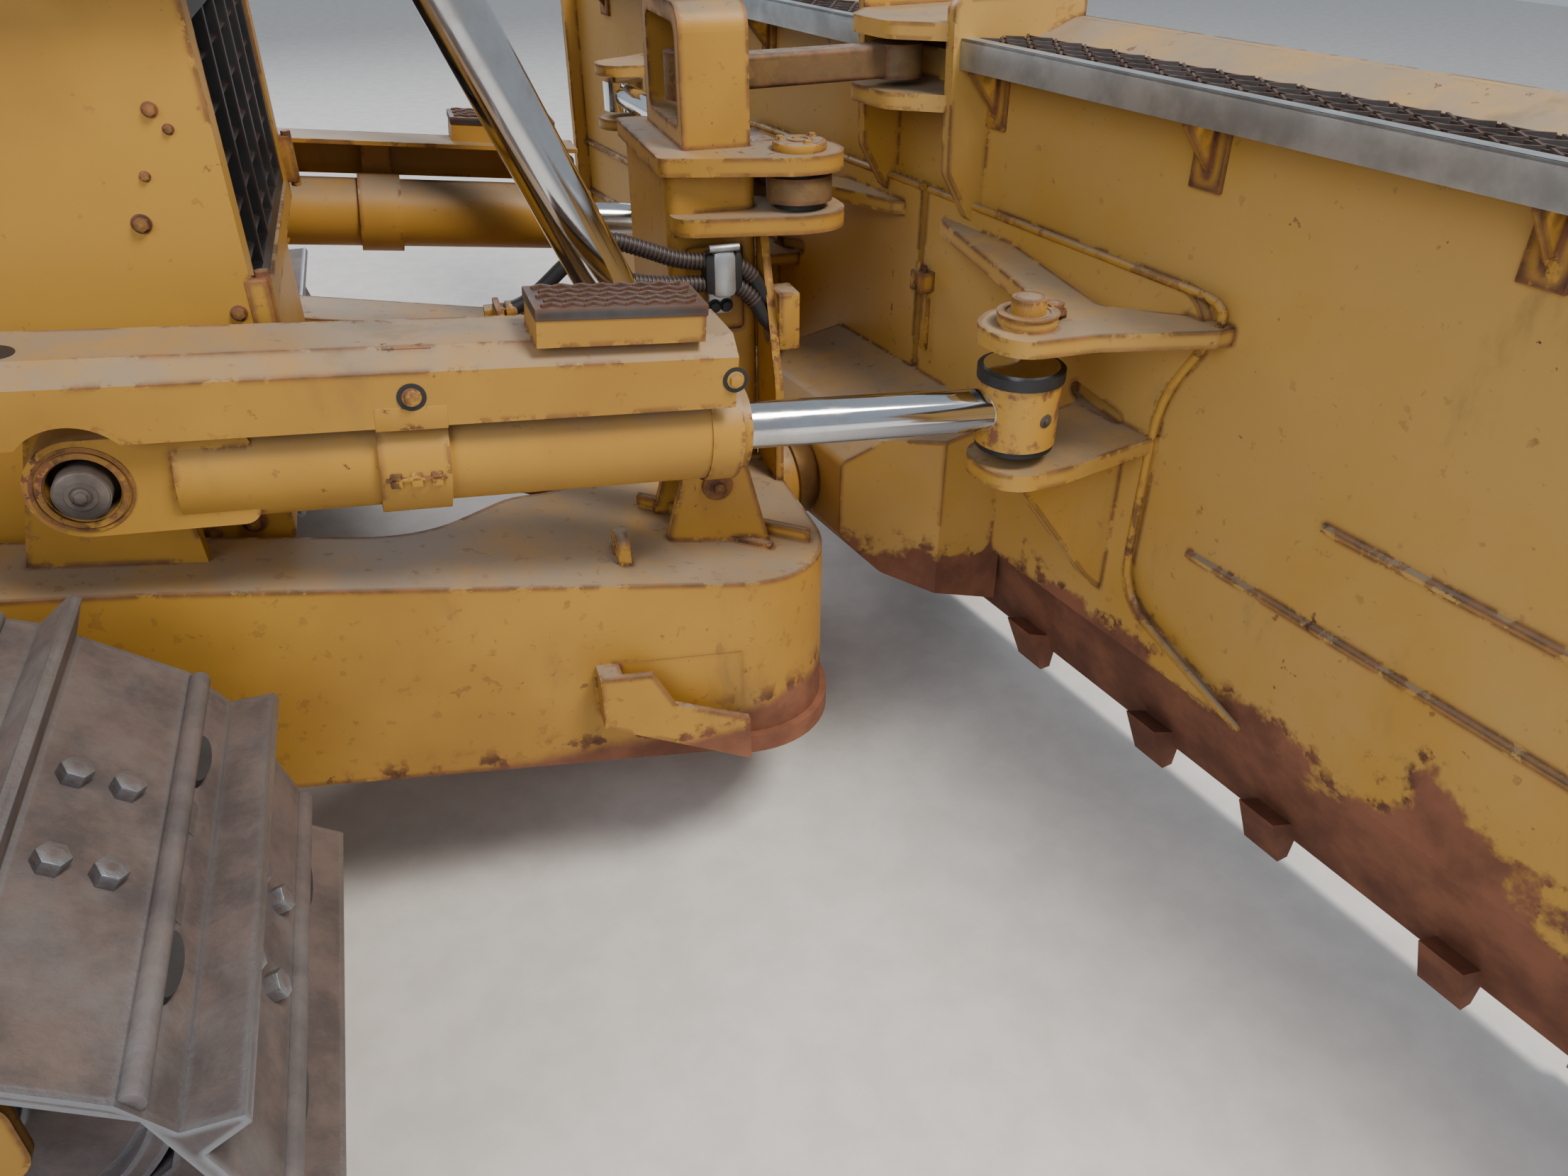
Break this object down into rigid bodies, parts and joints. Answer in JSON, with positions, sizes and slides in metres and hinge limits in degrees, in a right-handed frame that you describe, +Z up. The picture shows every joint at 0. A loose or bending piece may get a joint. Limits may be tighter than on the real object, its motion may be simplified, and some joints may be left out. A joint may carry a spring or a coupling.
{
  "type": "crawler bulldozer",
  "caption": "Crawler bulldozer with a curved front blade on a U-shaped push frame that lifts, angles and tilts by hydraulic cylinders, a closed cab and two steel tracks.",
  "frame": {"origin": "centre of the bounding box in plan, at the ground under the tracks", "axes": "+X forward to the blade, +Y to the driver's left, +Z up"},
  "size_m": [5.7288, 3.876, 3.1303],
  "materials": {
    "yellow_paint": "worn tan-yellow paint, rust at the edges",
    "black_paint": "dull black paint",
    "track_steel": "rusty brown steel, polished on the bars' tips",
    "rod_chrome": "polished chrome",
    "edge_steel": "rust red and scraped bare steel",
    "galvanised": "galvanised, slightly stained",
    "pin_steel": "turned pin steel, greasy",
    "bronze": "bearing bronze",
    "glass": "lightly tinted glass",
    "lamp": "clear lamp face in a dark case",
    "trim": "dark moulded trim",
    "seat_cover": "dark worn cover",
    "stack_steel": "heat-stained steel"
  },
  "bodies": {
    "chassis": {"main_frame": "yellow_paint", "engine_block": "trim", "nose": "yellow_paint", "grille": "black_paint", "hood": "yellow_paint", "exhaust_stack": "stack_steel", "cab_shell": "yellow_paint", "cab_roof": "yellow_paint", "cab_windows": "glass", "operator_seat": "seat_cover", "console": "trim", "fenders": "yellow_paint", "fuel_tank": "yellow_paint", "drawbar": "yellow_paint", "work_lamps": "lamp", "grab_rails": "black_paint", "cross_members": "pin_steel", "track_left": "track_steel", "track_right": "track_steel", "idler_left": "track_steel", "idler_right": "track_steel", "sprocket_left": "track_steel", "sprocket_right": "track_steel", "track_frame_left": "yellow_paint", "track_frame_right": "yellow_paint", "rollers_left": "track_steel", "rollers_right": "track_steel"},
    "push_frame": {"push_frame": "yellow_paint"},
    "ball": {"ball_liner": "bronze"},
    "blade": {"blade": "yellow_paint", "blade_steps": "galvanised", "cutting_edge": "edge_steel"},
    "king_pin": {"king_pin": "pin_steel"},
    "pitch_link": {"pitch_link": "yellow_paint"},
    "tilt_bearing": {"tilt_bearing": "pin_steel"},
    "tilt_barrel": {"tilt_barrel": "yellow_paint"},
    "tilt_rod": {"tilt_rod": "rod_chrome"},
    "angle_left_bearing": {"angle_bearing_left": "pin_steel"},
    "angle_left_barrel": {"angle_barrel_left": "yellow_paint", "angle_guard_left": "yellow_paint"},
    "angle_left_rod": {"angle_rod_left": "rod_chrome"},
    "lift_left_barrel": {"lift_barrel_left": "yellow_paint"},
    "lift_left_rod": {"lift_rod_left": "rod_chrome"},
    "door_left": {"cab_door_left": "yellow_paint", "door_glass_left": "glass"},
    "angle_right_bearing": {"angle_bearing_right": "pin_steel"},
    "angle_right_barrel": {"angle_barrel_right": "yellow_paint", "angle_guard_right": "yellow_paint"},
    "angle_right_rod": {"angle_rod_right": "rod_chrome"},
    "lift_right_barrel": {"lift_barrel_right": "yellow_paint"},
    "lift_right_rod": {"lift_rod_right": "rod_chrome"},
    "door_right": {"cab_door_right": "yellow_paint", "door_glass_right": "glass"}
  },
  "joints": [
    {"name": "blade_lift", "type": "hinge", "parent": "chassis", "child": "push_frame", "pos_m": [-0.24413, -0.07947, 0.69], "axis": [0, -1, 0], "range_deg": [-10, 20]},
    {"name": "blade_angle", "type": "hinge", "parent": "push_frame", "child": "ball", "pos_m": [1.96587, -0.07947, 0.42], "axis": [0, 0, 1], "range_deg": [-33.7, 12.3]},
    {"name": "blade_tilt", "type": "hinge", "parent": "ball", "child": "blade", "pos_m": [1.96587, -0.07947, 0.42], "axis": [0.9826, 0.1857, 0], "range_deg": [-6, 6]},
    {"name": "king_pin_turn", "type": "hinge", "parent": "push_frame", "child": "king_pin", "pos_m": [1.82987, -0.07947, 1.182], "axis": [0, 0, 1], "range_deg": [-22.29, 8.14]},
    {"name": "pitch_link_swing", "type": "hinge", "parent": "king_pin", "child": "pitch_link", "pos_m": [1.82987, -0.07947, 1.182], "axis": [0, 0, 1], "range_deg": [-11.97, 11.97]},
    {"name": "angle_left_swing", "type": "hinge", "parent": "push_frame", "child": "angle_left_bearing", "pos_m": [0.93287, 0.53253, 0.886], "axis": [0.0858, 0.5802, 0.81], "range_deg": [-2.96, 1.08]},
    {"name": "angle_left_pitch", "type": "hinge", "parent": "angle_left_bearing", "child": "angle_left_barrel", "pos_m": [0.93287, 0.53253, 0.886], "axis": [-0.0231, -0.9793, -0.2011], "range_deg": [-3.27, 3.27]},
    {"name": "angle_left_stroke", "type": "slide", "parent": "angle_left_barrel", "child": "angle_left_rod", "axis": [0.9946, -0.0021, -0.1038], "range_m": [-0.11973, 0.32804]},
    {"name": "angle_right_swing", "type": "hinge", "parent": "push_frame", "child": "angle_right_bearing", "pos_m": [0.93287, -0.69147, 0.886], "axis": [0.0826, -0.6897, 0.7194], "range_deg": [-2.37, 0.87]},
    {"name": "angle_right_pitch", "type": "hinge", "parent": "angle_right_bearing", "child": "angle_right_barrel", "pos_m": [0.93287, -0.69147, 0.886], "axis": [-0.0593, 0.9306, -0.3613], "range_deg": [-3.35, 3.35]},
    {"name": "angle_right_stroke", "type": "slide", "parent": "angle_right_barrel", "child": "angle_right_rod", "axis": [0.9959, 0.0304, -0.0852], "range_m": [-0.31491, 0.11494]},
    {"name": "tilt_swing", "type": "hinge", "parent": "push_frame", "child": "tilt_bearing", "pos_m": [1.95587, -0.25147, 1.031], "axis": [0.0066, 0.0453, 0.999], "range_deg": [-29.72, 10.85]},
    {"name": "tilt_pitch", "type": "hinge", "parent": "tilt_bearing", "child": "tilt_barrel", "pos_m": [1.95587, -0.25147, 1.031], "axis": [0.998, 0.0324, -0.0543], "range_deg": [-5.33, 5.33]},
    {"name": "tilt_stroke", "type": "slide", "parent": "tilt_barrel", "child": "tilt_rod", "axis": [-0.0349, 0.9984, -0.0451], "range_m": [-0.06432, 0.06432]},
    {"name": "lift_left_swing", "type": "hinge", "parent": "chassis", "child": "lift_left_barrel", "pos_m": [1.27087, 0.35053, 1.7], "axis": [0, -1, 0], "range_deg": [-8.16, 16.32]},
    {"name": "lift_left_stroke", "type": "slide", "parent": "lift_left_barrel", "child": "lift_left_rod", "axis": [0.4016, 0, -0.9158], "range_m": [-0.64516, 0.32258]},
    {"name": "lift_right_swing", "type": "hinge", "parent": "chassis", "child": "lift_right_barrel", "pos_m": [1.27087, -0.50947, 1.7], "axis": [0, -1, 0], "range_deg": [-8.16, 16.32]},
    {"name": "lift_right_stroke", "type": "slide", "parent": "lift_right_barrel", "child": "lift_right_rod", "axis": [0.4016, 0, -0.9158], "range_m": [-0.64516, 0.32258]},
    {"name": "door_left_swing", "type": "hinge", "parent": "chassis", "child": "door_left", "pos_m": [-1.50213, 0.63453, 2], "axis": [0, 0, 1], "range_deg": [0, 90]},
    {"name": "door_right_swing", "type": "hinge", "parent": "chassis", "child": "door_right", "pos_m": [-1.50213, -0.79347, 2], "axis": [0, 0, -1], "range_deg": [0, 90]}
  ],
  "couplings": [
    {"joint": "king_pin_turn", "follows": "blade_angle", "ratio": 0.64857},
    {"joint": "pitch_link_swing", "follows": "blade_tilt", "ratio": -1.9563},
    {"joint": "angle_left_swing", "follows": "blade_angle", "ratio": 0.086154},
    {"joint": "angle_left_pitch", "follows": "blade_tilt", "ratio": 0.53407},
    {"joint": "angle_left_stroke", "follows": "blade_angle", "m_per_rad": -0.54679},
    {"joint": "angle_right_swing", "follows": "blade_angle", "ratio": 0.068965},
    {"joint": "angle_right_pitch", "follows": "blade_tilt", "ratio": 0.54771},
    {"joint": "angle_right_stroke", "follows": "blade_angle", "m_per_rad": 0.5249},
    {"joint": "tilt_swing", "follows": "blade_angle", "ratio": 0.86468},
    {"joint": "tilt_pitch", "follows": "blade_tilt", "ratio": 0.87016},
    {"joint": "tilt_stroke", "follows": "blade_tilt", "m_per_rad": -0.60214},
    {"joint": "lift_left_swing", "follows": "blade_lift", "ratio": 0.8},
    {"joint": "lift_left_stroke", "follows": "blade_lift", "m_per_rad": -1.812},
    {"joint": "lift_right_swing", "follows": "blade_lift", "ratio": 0.8},
    {"joint": "lift_right_stroke", "follows": "blade_lift", "m_per_rad": -1.812}
  ]
}
